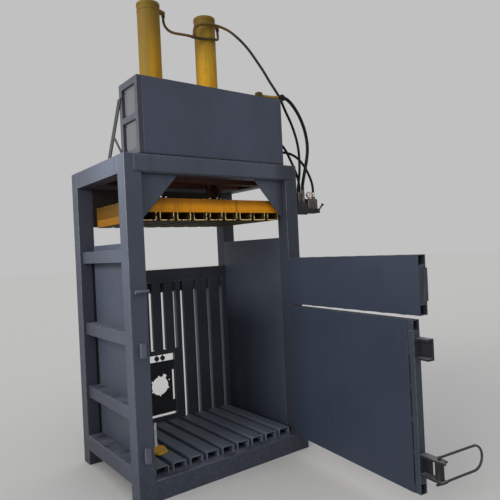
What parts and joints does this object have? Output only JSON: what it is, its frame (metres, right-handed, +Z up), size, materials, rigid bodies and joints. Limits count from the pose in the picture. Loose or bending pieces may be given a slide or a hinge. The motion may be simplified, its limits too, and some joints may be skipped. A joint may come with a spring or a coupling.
{
  "type": "baling_press",
  "caption": "Vertical hydraulic baling press with slatted chamber, two swing doors standing open, head cabinet and two ochre cylinders.",
  "frame": {"origin": "on the floor, mid width, on the centre line of the front posts, under the front base beam", "axes": "+X to the right seen from the front, +Y to the rear, +Z up"},
  "size_m": [1.7654, 2.3865, 3.452],
  "materials": {
    "frame_paint": "dark slate paint, satin, dusty and rubbed at the edges",
    "chamber_paint": "dark slate paint, matt, scuffed by the load",
    "dark_plate": "nearly black paint, matt",
    "ochre_paint": "mustard paint, semi-gloss, dirty",
    "primer_paint": "red-brown primer, matt",
    "rod_chrome": "hard chrome, ground",
    "bare_steel": "bare steel, oiled",
    "zinc_fittings": "zinc plated, dull",
    "dark_cast": "cast iron, painted black",
    "hose_rubber": "rubber hose cover, matt"
  },
  "bodies": {
    "frame": {"front_posts": "frame_paint", "rear_posts": "frame_paint", "base_beams": "frame_paint", "side_rails": "frame_paint", "top_beams": "frame_paint", "front_cover_plate": "frame_paint", "corner_gussets": "frame_paint", "side_wall_ribs": "frame_paint", "rear_ribs": "frame_paint", "head_floor": "frame_paint", "head_uprights": "frame_paint", "head_rails": "frame_paint", "head_front_panel": "frame_paint", "head_end_panels": "frame_paint", "head_top_panel": "frame_paint", "head_braces": "frame_paint", "oil_tank": "frame_paint", "valve_shelf": "frame_paint", "door_keepers": "frame_paint", "hinge_lugs": "frame_paint", "side_walls": "chamber_paint", "rear_top_band": "chamber_paint", "rear_slats": "chamber_paint", "floor_slats": "chamber_paint", "floor_bearers": "chamber_paint", "window_plate": "dark_plate", "hanger_studs": "dark_plate", "barrels": "ochre_paint", "barrel_caps": "ochre_paint", "ejector_foot": "ochre_paint", "crown_beams": "primer_paint", "crown_plates": "primer_paint", "glands": "bare_steel", "flange_bolts": "bare_steel", "hinge_pins": "bare_steel", "hose_fittings": "zinc_fittings", "hose_ferrules": "zinc_fittings", "valve_body": "zinc_fittings", "valve_block": "dark_cast", "pump_motor": "dark_cast", "gear_pump": "dark_cast", "hose_left": "hose_rubber", "hose_right": "hose_rubber", "hose_supply": "hose_rubber", "hose_pressure": "hose_rubber", "hose_rod_side": "hose_rubber", "hose_return": "hose_rubber"},
    "platen": {"platen_frame": "ochre_paint", "platen_channels": "ochre_paint", "rods": "rod_chrome", "pistons": "bare_steel"},
    "upper_door": {"upper_door_skin": "chamber_paint", "upper_door_rails": "frame_paint", "upper_door_stiles": "frame_paint"},
    "lower_door": {"lower_door_skin": "chamber_paint", "lower_door_rails": "frame_paint", "lower_door_stiles": "frame_paint", "latch_brackets": "frame_paint"},
    "latch_hoop": {"latch_hoop": "bare_steel"},
    "valve_lever": {"valve_lever": "dark_cast"}
  },
  "joints": [
    {"name": "platen_slide", "type": "slide", "parent": "frame", "child": "platen", "axis": [0, 0, -1], "range_m": [0, 1]},
    {"name": "upper_door_hinge", "type": "hinge", "parent": "frame", "child": "upper_door", "pos_m": [0.6035, -0.105, 1.313], "axis": [0, 0, 1], "range_deg": [-86, 45]},
    {"name": "lower_door_hinge", "type": "hinge", "parent": "frame", "child": "lower_door", "pos_m": [0.6035, -0.105, 0.6335], "axis": [0, 0, 1], "range_deg": [-83, 45]},
    {"name": "latch_hoop_hinge", "type": "hinge", "parent": "lower_door", "child": "latch_hoop", "pos_m": [0.42982, -1.39646, 0.315], "axis": [0, 0, 1], "range_deg": [-110, 60]},
    {"name": "valve_lever_hinge", "type": "hinge", "parent": "frame", "child": "valve_lever", "pos_m": [0.9815, 0, 1.849], "axis": [0, -1, 0], "range_deg": [-15, 15], "stiffness_Nm_per_rad": 4}
  ]
}
